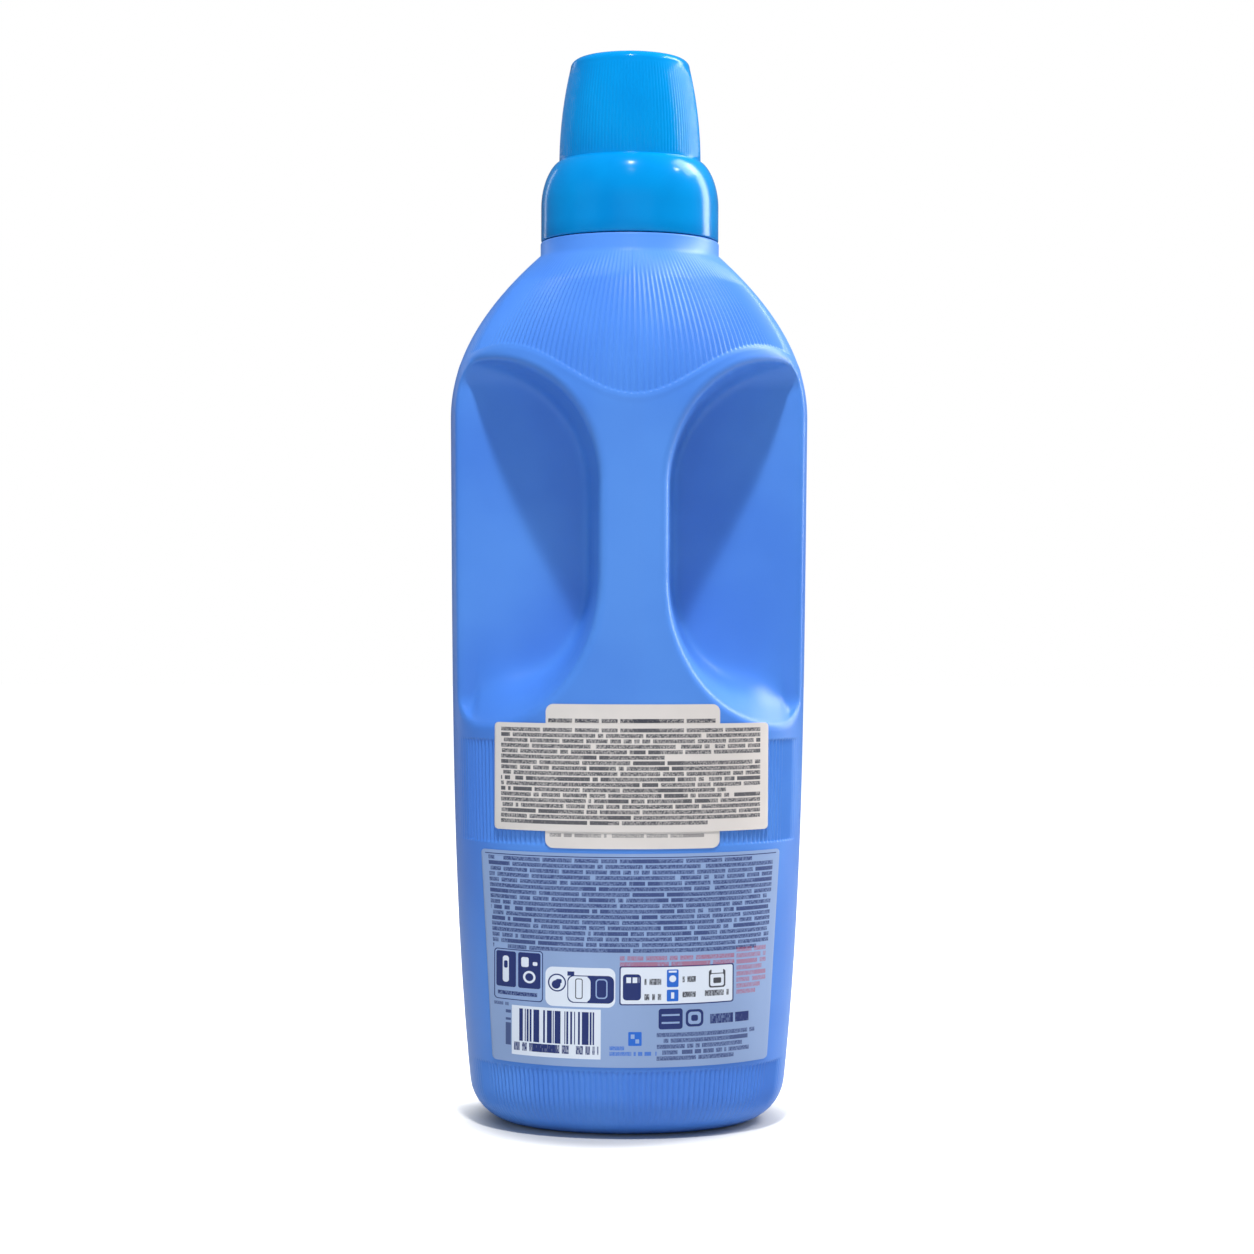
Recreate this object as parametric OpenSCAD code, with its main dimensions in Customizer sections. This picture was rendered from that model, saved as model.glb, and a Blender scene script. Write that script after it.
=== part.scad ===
// Two litre fabric softener bottle with a pinch grip, a pouring spout and a dosing cap.
// Millimetres, +Z up, origin at the middle of the base. The grip and the labels face -Y.

/* [Body] */
// Width of the body where the shoulder starts
body_w = 119.6; // [112:0.2:126]
// Depth of the body, grip side to front
body_d = 99; // [92:0.5:108]
// Height at which the side ends and the shoulder starts
shoulder_z = 234.5; // [229:0.5:240]
// Height of the shoulder, up to the collar
shoulder_h = 54.4; // [50:0.1:60]
// How full the shoulder is: 1 is a cone, 3 is nearly square
shoulder_fullness = 2.05; // [1.8:0.05:2.6]
// Inward lean of each side over the full height of the body
side_lean = 2; // [0:0.1:4]
// Extra inward curve of each side towards the base
side_tuck = 6.8; // [4:0.1:9]
// Radius of the rounded edge round the base
base_r = 13.5; // [9:0.1:15]
// Width of the flat ring that the bottle stands on
foot_w = 3; // [2:0.5:5]
// Height of the hollow under the base
push_up = 5; // [3:0.5:8]
// Wall thickness of the body
wall = 1; // [0.8:0.1:1.4]

/* [Grip] */
// Width of the spine between the two recesses
spine_w = 22.4; // [18:0.2:28]
// Height at which the spine starts to widen upwards
spine_top_z = 209.8; // [204:0.2:214]
// Height at which the spine starts to widen downwards
spine_low_z = 180.7; // [174:0.1:186]
// Rise of the recess above the straight part of the spine
recess_rise = 42; // [36:0.5:44]
// Fall of the recess below the straight part of the spine
recess_fall = 46.4; // [42:0.2:50]
// Distance of the recess's highest and lowest points from the middle of the spine
crest_x = 48.5; // [44:0.5:50]
// Distance from the middle plane to the recess floor beside the spine
floor_in = 15; // [12:0.5:18]
// Distance from the middle plane to the recess floor at the side
floor_out = 11; // [8:0.5:14]
// How far the floor comes forward in the outer corners of the recess
floor_turn = 18; // [12:0.5:20]
// Height of these corners
turn_h = 9; // [6:0.5:12]
// Radius of the edge round the recess
edge_r = 3; // [2:0.1:4]
// Softness of the recess edge at the side of the body
side_soft = 2.5; // [1.5:0.1:5]
// Slope of the recess wall along the spine
wall_slope = 14; // [8:0.5:20]
// Slope of the recess's ceiling
ceiling_slope = 8; // [4:0.5:12]
// Slope of the ledge at the foot of the recess
ledge_slope = 1.3; // [1:0.1:2]

/* [Neck] */
// Radius of the smooth collar under the cap
collar_r = 29.9; // [28.5:0.1:31]
// Height of the collar
collar_h = 4.6; // [3:0.1:6]
// Outer radius of the neck
neck_r = 25.6; // [24.8:0.1:26]
// Wall thickness of the neck and of the collar
neck_wall = 2; // [1.6:0.1:2.4]
// Height of the neck above the collar
neck_h = 18.5; // [16:0.5:20]

/* [Cap] */
// Gap between the cap and what it closes on
cap_gap = 0.3; // [0.2:0.05:0.5]
// Height of the skirt, from its lower edge to its step
skirt_h = 26.5; // [25:0.5:29]
// Wall thickness of the skirt
skirt_wall = 1.5; // [1.2:0.1:1.8]
// Height of the rounded shoulder at the top of the skirt
skirt_round_h = 15; // [10:0.5:18]
// Height of the cup above the step
cup_h = 34.7; // [28:0.1:42]
// Outer radius of the cup at the step
cup_r = 23.7; // [23:0.1:24.2]
// How much the cup's radius shrinks towards its top
cup_draw = 4.4; // [2:0.1:6]
// Wall thickness of the cup
cup_wall = 1.6; // [1.2:0.1:1.8]
// Radius of the rounded edge round the top of the cup
cup_edge_r = 3; // [2:0.1:4]
// Width of the step between the skirt and the cup
step_w = 0.3; // [0.1:0.1:1.5]

/* [Spout] */
// Radial gap between the spout's plug and the neck
plug_gap = 0.1; // [0.05:0.05:0.2]
// Depth of the plug and of its drip trough
plug_h = 13; // [10:0.5:16]
// Wall thickness of the spout
spout_wall = 1.4; // [1:0.1:1.6]
// Width by which the flange laps over the rim of the neck
flange_lap = 1.9; // [1.2:0.1:2.2]
// Inner radius of the pouring tube
spout_r = 12.4; // [10:0.1:14]
// Height of the pouring lip above the flange
lip_h = 25; // [18:0.5:28]
// Drop of the lip from its front to its back
lip_drop = 13; // [8:0.5:16]
// Width of the drain slot at the back of the tube
drain_w = 7; // [4:0.5:10]

/* [Labels] */
// Gap between the body and what is stuck on it
label_gap = 0.15; // [0.1:0.05:0.3]
// Thickness of a label or sticker
label_t = 0.15; // [0.1:0.05:0.3]
// Height of the lower edge of the back label
label_z = 23.8; // [18:0.2:30]
// Height of the back label
label_h = 68.8; // [60:0.2:72]
// Width of the back label at its upper edge
label_w = 97.6; // [90:0.2:100]
// Width of the back label at its lower edge
label_foot_w = 89.8; // [82:0.2:92]
// Corner radius of the back label and of the wide sticker
label_corner = 1.3; // [1:0.1:4]
// Gap between the back label and the narrow sticker above it
sticker_gap = 1.5; // [0.5:0.5:4]
// Width of the narrow sticker
under_w = 56; // [48:0.5:60]
// Height of the narrow sticker
under_h = 46.2; // [40:0.2:48]
// Corner radius of the narrow sticker
under_corner = 2.5; // [1:0.1:4]
// Width of the wide sticker
over_w = 88.8; // [80:0.2:90]
// Height of the wide sticker
over_h = 34.6; // [28:0.2:36]
// Distance of the wide sticker above the lower edge of the narrow one
over_rise = 5.4; // [3:0.2:8]

/* [Hidden] */

body_blue = [0.33, 0.54, 0.86];
cap_blue = [0.02, 0.5, 0.76];
spout_blue = [0.62, 0.74, 0.9];
film_blue = [0.62, 0.72, 0.88];
paper_white = [0.94, 0.93, 0.92];

collar_z = shoulder_z + shoulder_h;
collar_top_z = collar_z + collar_h;
rim_z = collar_top_z + neck_h;
recess_top_z = spine_top_z + recess_rise;
recess_low_z = spine_low_z - recess_fall;
neck_in_r = neck_r - neck_wall;

// Powers of the tuck of the sides and of the rounded foot of the recess wall
tuck_power = 4;
foot_power = 4;

function mix(a, b, t) = a + (b - a) * t;
function clamp(t) = min(1, max(0, t));
function smooth(t) = let (c = clamp(t)) c * c * (3 - 2 * c);

// Inset of a rounded lower edge of radius r, at height h above its foot
function corner(h, r) = h >= r ? 0 : r - sqrt(max(0, r * r - (r - h) * (r - h)));

// Fullness of the shoulder: 1 where it starts, 0 at the collar
function dome(z) = 1 - pow(clamp((z - shoulder_z) / shoulder_h), shoulder_fullness);

// Half the body's width or depth at height z, from its greatest value, inset by t
function side(full, z, t) =
    let (s = max(0, (shoulder_z - z) / shoulder_z))
    let (leaned = full * (1 - (side_lean * s + side_tuck * pow(s, tuck_power)) / (body_w / 2)))
    mix(collar_r, leaned, dome(z)) - t;
function half_w(z, t = 0) = side(body_w / 2, z, t) - corner(z - t, base_r - t);
function half_d(z, t = 0) = side(body_d / 2, z, t) - corner(z - t, base_r - t);

// How far the edge of the recess has climbed or fallen at height z: 0 along the straight spine, 1 at its end
function climb(z) = z > spine_low_z ? max(0, z - spine_top_z) / recess_rise : (spine_low_z - z) / recess_fall;
// Half the width of the spine at height z: straight, then a quarter of an ellipse at either end
function rim(z) = crest_x - (crest_x - spine_w / 2) * sqrt(max(0, 1 - climb(z) * climb(z)));

// Distance inside the edge of the recess, and how level the edge runs there, 0 along the spine and 1 at its crest
function inside_edge(x, z) =
    let (a = crest_x - spine_w / 2, b = z > spine_low_z ? recess_rise : recess_fall)
    let (near = max(0, crest_x - x) / a, up = climb(z))
    let (f = norm([near, up]), gradient = max(0.0001, norm([near / a, up / b])))
    [(1 - f) * (f > 0.001 ? f / gradient : a), pow(up / b / gradient, 2)];

// Depth of a wall that starts with an edge of radius r and goes on at a slope, at distance e from its start
function wall_depth(e, slope, r) =
    let (long = sqrt(1 + slope * slope), turned = r * slope / long, arc = min(max(0, e), turned))
    r - sqrt(max(0, r * r - arc * arc)) + slope * max(0, e - turned);

// Distance from the middle plane to the recess floor at x, z: a plane, but for the outer corners
function floor_at(x, z) =
    let (near = clamp(1 - min(recess_top_z - z, z - recess_low_z) / turn_h))
    let (out = floor_out + floor_turn * (1 - sqrt(1 - near * near)))
    mix(floor_in, out, (x - spine_w / 2) / (body_w / 2 - spine_w / 2));

// Depth of the recess behind the oval, at x from the middle where the oval lies y in front of it
function dent(x, y, z, t) =
    let (edge = inside_edge(x, z), end_slope = z > spine_low_z ? ceiling_slope : ledge_slope)
    let (slope = wall_slope * pow(end_slope / wall_slope, edge[1]))
    let (cut = wall_depth(edge[0] + edge_r, slope, edge_r - t))
    let (bare = max(0, y - floor_at(x, z) + t))
    let (level = sqrt(bare * bare + side_soft * side_soft) - side_soft)
    cut * level / max(0.001, pow(pow(cut, foot_power) + pow(level, foot_power), 1 / foot_power));

// Point of the skin at angle u, 0 towards the grip side, at height z, inset by t
function skin(u, z, t = 0) =
    let (x = half_w(z, t) * sin(u), y = half_d(z, t) * cos(u))
    let (open = y > 0 && z > recess_low_z - edge_r && z < recess_top_z + edge_r)
    [x, -y + (open ? dent(abs(x), y, z, t) : 0), z];

// Columns of the skin's mesh: shares of the spine's face, then shares of what lies beyond its edge
on_spine = [0, 0.3, 0.56, 0.74, 0.87, 0.96];
off_spine = [0, 0.011, 0.023, 0.037, 0.08, 0.17, 0.3, 0.45, 0.59, 0.7, 0.78, 0.85, 1];
side_columns = len(on_spine) + len(off_spine) - 1;
rear_columns = 15;
widest_edge = 0.74;
// Height over which the columns spread out evenly beyond the recess
spread_h = 9;

function gathered(z) = smooth((z - recess_low_z + spread_h) / spread_h)
    * smooth((recess_top_z + spread_h - z) / spread_h);
function column(j, z) =
    let (edge = asin(min(widest_edge, rim(z) / half_w(z))))
    let (close = j < len(on_spine) ? edge * on_spine[j] : mix(edge, 90, off_spine[j - len(on_spine)]))
    mix(90 * j / side_columns, close, gathered(z));
function angles(z) = concat(
    [for (j = [side_columns:-1:1]) -column(j, z)],
    [for (j = [0:side_columns]) column(j, z)],
    [for (j = [1:rear_columns - 1]) 90 + 180 * j / rear_columns]);

function skin_ring(z, t = 0) = [for (u = angles(z)) skin(u, z, t)];
function round_ring(r, z) = [for (u = angles(z)) [r * sin(u), -r * cos(u), z]];
// A round hole whose widest flats, at the rear, touch the circle from outside
function bore_ring(r, z) = round_ring(r / cos(90 / rear_columns), z);
function foot_ring(inset, z) = [for (u = angles(0))
    [(side(body_w / 2, 0, inset)) * sin(u), -(side(body_d / 2, 0, inset)) * cos(u), z]];

// Heights of the rings: n of them from a to b, bunched towards b when p is under 1
function steps(a, b, n, p = 1) = [for (i = [1:n]) mix(a, b, pow(i / n, p))];
edge_steps = 5;
function edge_heights(t) = [for (i = [1:edge_steps]) t + (base_r - t) * (1 - cos(90 * i / edge_steps))];
side_heights = concat(
    steps(base_r, recess_low_z - spread_h, 5),
    [recess_low_z - edge_r, recess_low_z - edge_r / 3, recess_low_z],
    steps(recess_low_z, recess_low_z + recess_fall / 2, 11),
    steps(recess_low_z + recess_fall / 2, spine_low_z, 3),
    steps(spine_low_z, spine_top_z, 2),
    steps(spine_top_z, recess_top_z, 17, 0.6),
    [recess_top_z + edge_r / 3, recess_top_z + edge_r],
    steps(recess_top_z + spread_h, collar_z, 7));

// Closed surface through rings of equal length, with a point at each end, its squares cut along the shorter diagonal
module loft(first, rings, last) {
    n = len(rings[0]);
    m = len(rings);
    function at(i, j) = 1 + i * n + j % n;
    function rising(i, j) = norm(rings[i][j] - rings[i + 1][(j + 1) % n])
        <= norm(rings[i + 1][j] - rings[i][(j + 1) % n]);
    polyhedron(
        concat([first], [for (ring = rings) each ring], [last]),
        concat(
            [for (j = [0:n - 1]) [0, at(0, j), at(0, j + 1)]],
            [for (i = [0:m - 2], j = [0:n - 1]) each rising(i, j)
                ? [[at(i, j), at(i + 1, j + 1), at(i, j + 1)], [at(i, j), at(i + 1, j), at(i + 1, j + 1)]]
                : [[at(i, j), at(i + 1, j), at(i, j + 1)], [at(i + 1, j), at(i + 1, j + 1), at(i, j + 1)]]],
            [for (j = [0:n - 1]) [m * n + 1, at(m - 1, j + 1), at(m - 1, j)]]),
        convexity = 8);
}

module bottle() {
    foot_in = base_r + foot_w;
    outside = concat(
        [foot_ring(foot_in + 3 * push_up, push_up * 0.95), foot_ring(foot_in + push_up, push_up * 0.55)],
        [foot_ring(foot_in, 0), foot_ring(base_r, 0)],
        [for (z = edge_heights(0)) skin_ring(z)],
        [for (z = side_heights) skin_ring(z)],
        [round_ring(collar_r, collar_top_z), round_ring(neck_r, collar_top_z), round_ring(neck_r, rim_z)]);
    inside = concat(
        [foot_ring(foot_in + 3 * push_up, push_up * 0.95 + wall)],
        [foot_ring(foot_in + push_up, push_up * 0.55 + wall), foot_ring(foot_in + wall / 2, wall)],
        [for (z = edge_heights(wall)) skin_ring(z, wall)],
        [for (z = side_heights) if (z < collar_z - wall) skin_ring(z, wall)],
        [round_ring(collar_r - neck_wall, collar_z), round_ring(collar_r - neck_wall, collar_top_z - neck_wall)],
        [bore_ring(neck_in_r, collar_top_z), bore_ring(neck_in_r, rim_z)]);
    color(body_blue)
        loft([0, 0, push_up],
            concat(outside, [for (i = [len(inside) - 1:-1:0]) inside[i]]),
            [0, 0, push_up + wall]);
}

// The insert: a flange on the neck's rim, a plug with a drip trough, and a tube with a sloping lip
flange_top_z = rim_z + spout_wall;
trough_z = rim_z - plug_h;
tube_out_r = spout_r + spout_wall;
module pour_spout() {
    plug_r = neck_in_r - plug_gap;
    lip_z = flange_top_z + lip_h;
    section = [
        [spout_r, trough_z], [plug_r, trough_z], [plug_r, rim_z], [plug_r + flange_lap, rim_z],
        [plug_r + flange_lap, flange_top_z], [plug_r - spout_wall, flange_top_z],
        [plug_r - spout_wall, trough_z + spout_wall], [tube_out_r, trough_z + spout_wall],
        [tube_out_r, lip_z], [spout_r, lip_z]];
    color(spout_blue)
        difference() {
            rotate_extrude($fn = 96) polygon(section);
            translate([0, tube_out_r, lip_z])
                rotate([atan(lip_drop / (2 * tube_out_r)), 0, 0])
                    translate([-tube_out_r * 2, -tube_out_r * 4, 0])
                        cube([tube_out_r * 4, tube_out_r * 5, lip_h * 2]);
            translate([-drain_w / 2, -tube_out_r - spout_wall, trough_z + spout_wall])
                cube([drain_w, tube_out_r, plug_h + lip_h * 2]);
        }
}

// The cap: a screw skirt closing over the neck, and the measuring cup that it carries
skirt_z = collar_top_z + cap_gap;
step_z = skirt_z + skirt_h;
cap_top_z = step_z + cup_h;
skirt_r = collar_r - 0.5 * cap_gap;
function cup_at(s) = cup_r - cup_draw * s * s;
// Radius of the skirt's shoulder between its two ends: less full than an ellipse
shoulder_power = 1.4;
function shoulder_at(top_r, low_r, u) = mix(top_r, low_r, pow(cos(u), shoulder_power));
module dosing_cap() {
    cup_steps = 10;
    arc_steps = 8;
    top_r = cup_at(1) - cup_edge_r;
    straight = 1 - cup_edge_r / cup_h;
    in_r = skirt_r - skirt_wall;
    in_round_h = skirt_round_h - skirt_wall;
    outside = concat(
        [[skirt_r, skirt_z]],
        [for (i = [0:arc_steps]) let (u = 90 * i / arc_steps)
            [shoulder_at(cup_r + step_w, skirt_r, u), step_z - skirt_round_h * (1 - sin(u))]],
        [for (i = [0:cup_steps]) let (s = straight * i / cup_steps) [cup_at(s), step_z + cup_h * s]],
        [for (i = [1:arc_steps]) let (u = 90 * i / arc_steps)
            [top_r + (cup_at(straight) - top_r) * cos(u), cap_top_z - cup_edge_r * (1 - sin(u))]]);
    inside = concat(
        [[0, cap_top_z - cup_wall]],
        [for (i = [cup_steps:-1:0]) let (s = (1 - cup_wall / cup_h) * i / cup_steps)
            [cup_at(s) - cup_wall, step_z + cup_h * s]],
        [[cup_r - cup_wall, flange_top_z + cap_gap], [cup_r, flange_top_z + cap_gap]],
        [for (i = [arc_steps:-1:0]) let (u = 90 * i / arc_steps)
            [shoulder_at(cup_r, in_r, u), step_z - skirt_wall - in_round_h * (1 - sin(u))]],
        [[in_r, skirt_z]]);
    color(cap_blue)
        rotate_extrude($fn = 120)
            polygon(concat(outside, [[0, cap_top_z]], inside));
}

// Film or paper on the body: low and high edges, their widths, corner radius, and lift off the skin
module stuck_on(low, high, low_w, high_w, r, lift) {
    columns = 18;
    bands = 4;
    rows = concat([0, 0.15 * r, 0.5 * r], [for (i = [0:bands]) mix(r, high - low - r, i / bands)],
        [high - low - 0.5 * r, high - low - 0.15 * r, high - low]);
    function reach(h) = mix(low_w, high_w, h / (high - low)) / 2 - corner(h, r) - corner(high - low - h, r);
    function laid(j, h, off) =
        let (a = half_w(low + h) + off, b = half_d(low + h) + off)
        let (u = asin(reach(h) / a) * (2 * j / columns - 1))
        [a * sin(u), -b * cos(u), low + h];
    rings = [for (h = rows) concat(
        [for (j = [0:columns]) laid(j, h, lift + label_t)],
        [for (j = [columns:-1:0]) laid(j, h, lift)])];
    n = len(rings[0]);
    m = len(rows);
    function at(i, j) = i * n + j % n;
    function strip(i, up) = [for (j = [0:columns - 1])
        up ? [at(i, n - 1 - j), at(i, n - 2 - j), at(i, j + 1), at(i, j)]
            : [at(i, j), at(i, j + 1), at(i, n - 2 - j), at(i, n - 1 - j)]];
    polyhedron(
        [for (ring = rings) each ring],
        concat(
            strip(0, false),
            [for (i = [0:m - 2], j = [0:n - 1], half = [0, 1])
                half == 0 ? [at(i, j), at(i + 1, j + 1), at(i, j + 1)]
                    : [at(i, j), at(i + 1, j), at(i + 1, j + 1)]],
            strip(m - 1, true)),
        convexity = 6);
}

label_top_z = label_z + label_h;
under_z = label_top_z + sticker_gap;
over_z = under_z + over_rise;
module back_label()
    color(film_blue)
        stuck_on(label_z, label_top_z, label_foot_w, label_w, label_corner, label_gap);
module sticker_under()
    color(paper_white)
        stuck_on(under_z, under_z + under_h, under_w, under_w, under_corner, label_gap);
module sticker_over()
    color(paper_white)
        stuck_on(over_z, over_z + over_h, over_w, over_w, label_corner, 2 * label_gap + label_t);

bottle();
pour_spout();
dosing_cap();
back_label();
sticker_under();
sticker_over();
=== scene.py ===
"""Looks of a two litre fabric softener bottle: ribbed blow-moulded body, dosing cap, labels and studio."""

import math

import bpy
import numpy as np
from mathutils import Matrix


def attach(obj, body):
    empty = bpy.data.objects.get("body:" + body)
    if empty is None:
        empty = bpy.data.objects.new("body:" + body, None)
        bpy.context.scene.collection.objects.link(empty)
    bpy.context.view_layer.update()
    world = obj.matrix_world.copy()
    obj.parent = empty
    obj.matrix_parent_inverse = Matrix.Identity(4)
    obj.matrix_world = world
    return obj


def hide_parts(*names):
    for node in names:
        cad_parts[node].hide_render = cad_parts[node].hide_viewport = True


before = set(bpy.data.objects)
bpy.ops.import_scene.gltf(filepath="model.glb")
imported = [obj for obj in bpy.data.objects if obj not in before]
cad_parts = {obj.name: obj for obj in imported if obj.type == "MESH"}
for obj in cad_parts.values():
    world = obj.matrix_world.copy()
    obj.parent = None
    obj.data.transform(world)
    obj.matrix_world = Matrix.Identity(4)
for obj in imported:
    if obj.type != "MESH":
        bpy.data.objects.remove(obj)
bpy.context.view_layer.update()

bl_info = {
    "name": "Softener Bottle",
    "version": (1, 0, 0),
    "blender": (4, 5, 0),
    "location": "3D View > Sidebar > Softener Bottle",
    "description": "Builds the looks of a fabric softener bottle round its packed construction",
    "category": "Add Mesh",
}

MM = 0.001
RIGHT_ANGLE = math.pi / 2
PITCH = 5 * MM  # of the screw thread between neck and cap
UV_PER_M = 10  # units of a label's UV map to a metre


def size_prop(label, mm, text):
    """A length in metres, given here in millimetres."""
    return bpy.props.FloatProperty(
        name=label, description=text, default=mm * MM, min=0, precision=5, subtype="DISTANCE", unit="LENGTH"
    )


def share_prop(label, value, text):
    """A plain number."""
    return bpy.props.FloatProperty(name=label, description=text, default=value, precision=3, subtype="NONE")


def colour_prop(label, srgb, text):
    """A colour, given here as the eight bit values that it shows as."""
    linear = [(v / 255 / 12.92 if v < 11 else ((v / 255 + 0.055) / 1.055) ** 2.4) for v in srgb]
    return bpy.props.FloatVectorProperty(
        name=label, description=text, default=linear, min=0, max=1, size=3, subtype="COLOR"
    )


class BodySizes(bpy.types.PropertyGroup):
    """The blow-moulded body, with the grip recesses on its -Y side."""

    width: size_prop("Width", 119.6, "Width of the body where the shoulder starts")
    depth: size_prop("Depth", 99, "Depth of the body, grip side to front")
    shoulder_z: size_prop("Shoulder start", 234.5, "Height at which the shoulder starts")
    shoulder_h: size_prop("Shoulder height", 54.4, "Height of the shoulder, up to the collar")
    fullness: share_prop("Shoulder fullness", 2.05, "Power of the shoulder's curve")
    lean: size_prop("Side lean", 2, "Inward lean of each side over the height of the body")
    tuck: size_prop("Side tuck", 6.8, "Extra inward curve of each side towards the base")
    tuck_power: share_prop("Tuck power", 4, "Power of the inward curve")
    base_r: size_prop("Base edge", 13.5, "Radius of the rounded edge round the base")
    foot_w: size_prop("Foot ring", 3, "Width of the flat ring that the bottle stands on")
    push_up: size_prop("Push-up", 5, "Height of the hollow under the base")
    wall: size_prop("Wall", 1, "Wall thickness of the body")
    spine_w: size_prop("Spine width", 22.4, "Width of the spine between the recesses")
    spine_top_z: size_prop("Spine top", 209.8, "Height at which the spine widens upwards")
    spine_low_z: size_prop("Spine foot", 180.7, "Height at which the spine widens downwards")
    recess_rise: size_prop("Recess rise", 42, "Rise of the recess above the straight spine")
    recess_fall: size_prop("Recess fall", 46.4, "Fall of the recess below the straight spine")
    crest_x: size_prop("Recess crest", 48.5, "Distance of the recess's crest from the middle of the spine")
    floor_in: size_prop("Floor at spine", 15, "Distance of the recess floor from the middle plane beside the spine")
    floor_out: size_prop("Floor at side", 11, "Distance of the recess floor from the middle plane at the side")
    floor_turn: size_prop("Floor turn", 6, "How far the floor comes forward at the recess's outer corners")
    turn_h: size_prop("Turn height", 9, "Height of the recess's outer corners")
    turn_w: size_prop("Turn width", 12, "Width past the crest in which the recess's outline turns down at the side")
    turn_power: share_prop("Turn power", 2.6, "Power of that turn")
    edge_r: size_prop("Edge radius", 3, "Radius of the recess's edge")
    side_soft: size_prop("Side softness", 2.5, "Softness of the recess edge at the side")
    wall_slope: share_prop("Wall slope", 14, "Slope of the recess's wall along the spine")
    ceiling_slope: share_prop("Ceiling slope", 8, "Slope of the recess's ceiling")
    ledge_slope: share_prop("Ledge slope", 1.3, "Slope of the ledge at the foot of the recess")
    collar_r: size_prop("Collar radius", 29.9, "Radius of the smooth collar under the cap")
    collar_h: size_prop("Collar height", 4.6, "Height of the collar")
    neck_r: size_prop("Neck radius", 25.6, "Outer radius of the neck")
    neck_wall: size_prop("Neck wall", 2, "Wall thickness of the neck")
    neck_h: size_prop("Neck height", 18.5, "Height of the neck above the collar")


class RibSizes(bpy.types.PropertyGroup):
    """The fine grooves moulded into the body, and the mould's parting line."""

    count: bpy.props.IntProperty(
        name="Ribs round the body", description="Ribs that a full turn would hold", default=180, min=60, max=240
    )
    depth: size_prop("Groove depth", 0.5, "Depth of the grooves between the ribs")
    top_z: size_prop("Ribs top", 288.5, "Height at which the shoulder's ribs have faded out")
    fade_h: size_prop("Ribs fade", 12, "Height over which the shoulder's ribs fade in")
    frame_z: size_prop("Frame line low", 239.2, "Height of the line that ends the shoulder's ribs, over the spine")
    frame_rise: size_prop("Frame line rise", 17.4, "Rise of that line from the spine to its crest")
    frame_w: size_prop("Frame line crest", 43, "Distance of its crest from the spine's middle")
    band_top_z: size_prop("Lower ribs top", 128.6, "Height of the upper end of the lower ribs")
    panel_top_z: size_prop("Label panel top", 94.7, "Height of the upper edge of the smooth label panel")
    panel_low_z: size_prop("Label panel foot", 22.6, "Height of the lower edge of the smooth label panel")
    foot_z: size_prop("Ribs foot", 3, "Height at which the lowest ribs end")
    reach: share_prop("Ribs reach", 0.98, "Share of the half width that the ribs reach")
    ridge_w: size_prop("Ridge width", 1.2, "Half width of the soft ridge under the frame line")
    ridge_h: size_prop("Ridge height", 0.14, "Height of that ridge")
    seam_w: size_prop("Seam width", 0.32, "Width of the parting line")
    seam_h: size_prop("Seam height", 0.11, "Height of the parting line")


class CapSizes(bpy.types.PropertyGroup):
    """The dosing cap: a ribbed cup over a smooth screw skirt."""

    gap: size_prop("Gap", 0.3, "Gap between the cap and what it closes on")
    skirt_h: size_prop("Skirt height", 26.5, "Height of the skirt, from its lower edge to its step")
    skirt_wall: size_prop("Skirt wall", 1.5, "Wall thickness of the skirt")
    skirt_round_h: size_prop("Skirt shoulder", 15, "Height of the rounded shoulder of the skirt")
    cup_h: size_prop("Cup height", 34.7, "Height of the cup above the step")
    cup_r: size_prop("Cup radius", 23.7, "Outer radius of the cup at the step")
    cup_draw: size_prop("Cup draw", 4.4, "How much the cup's radius shrinks to its top")
    cup_wall: size_prop("Cup wall", 1.6, "Wall thickness of the cup")
    cup_edge_r: size_prop("Cup edge", 3, "Radius of the edge round the cup's top")
    step_w: size_prop("Step width", 0.3, "Width of the step between skirt and cup")
    spout_wall: size_prop("Flange", 1.4, "Thickness of the spout's flange under the cup")
    ribs: bpy.props.IntProperty(
        name="Cup ribs", description="Fine ribs round the cup", default=124, min=60, max=160
    )
    rib_h: size_prop("Rib height", 0.12, "Height of the cup's ribs")


class LabelSizes(bpy.types.PropertyGroup):
    """The back label and, above it, a wide sticker over a narrow one."""

    gap: size_prop("Gap", 0.15, "Gap between the body and what is stuck on it")
    thick: size_prop("Thickness", 0.15, "Thickness of a label or sticker")
    low_z: size_prop("Label foot", 23.8, "Height of the back label's lower edge")
    height: size_prop("Label height", 68.8, "Height of the back label")
    top_w: size_prop("Label top width", 97.6, "Width of the back label at its upper edge")
    foot_w: size_prop("Label foot width", 89.8, "Width of the back label at its lower edge")
    corner: size_prop("Corner", 1.3, "Corner radius of the back label and the wide sticker")
    under_z: size_prop("Narrow sticker foot", 94.1, "Height of the narrow sticker's lower edge")
    under_w: size_prop("Narrow sticker width", 56, "Width of the narrow sticker")
    under_h: size_prop("Narrow sticker height", 46.2, "Height of the narrow sticker")
    under_corner: size_prop("Narrow sticker corner", 2.5, "Corner radius of the narrow sticker")
    over_z: size_prop("Wide sticker foot", 99.5, "Height of the wide sticker's lower edge")
    over_w: size_prop("Wide sticker width", 88.8, "Width of the wide sticker")
    over_h: size_prop("Wide sticker height", 34.6, "Height of the wide sticker")


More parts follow.
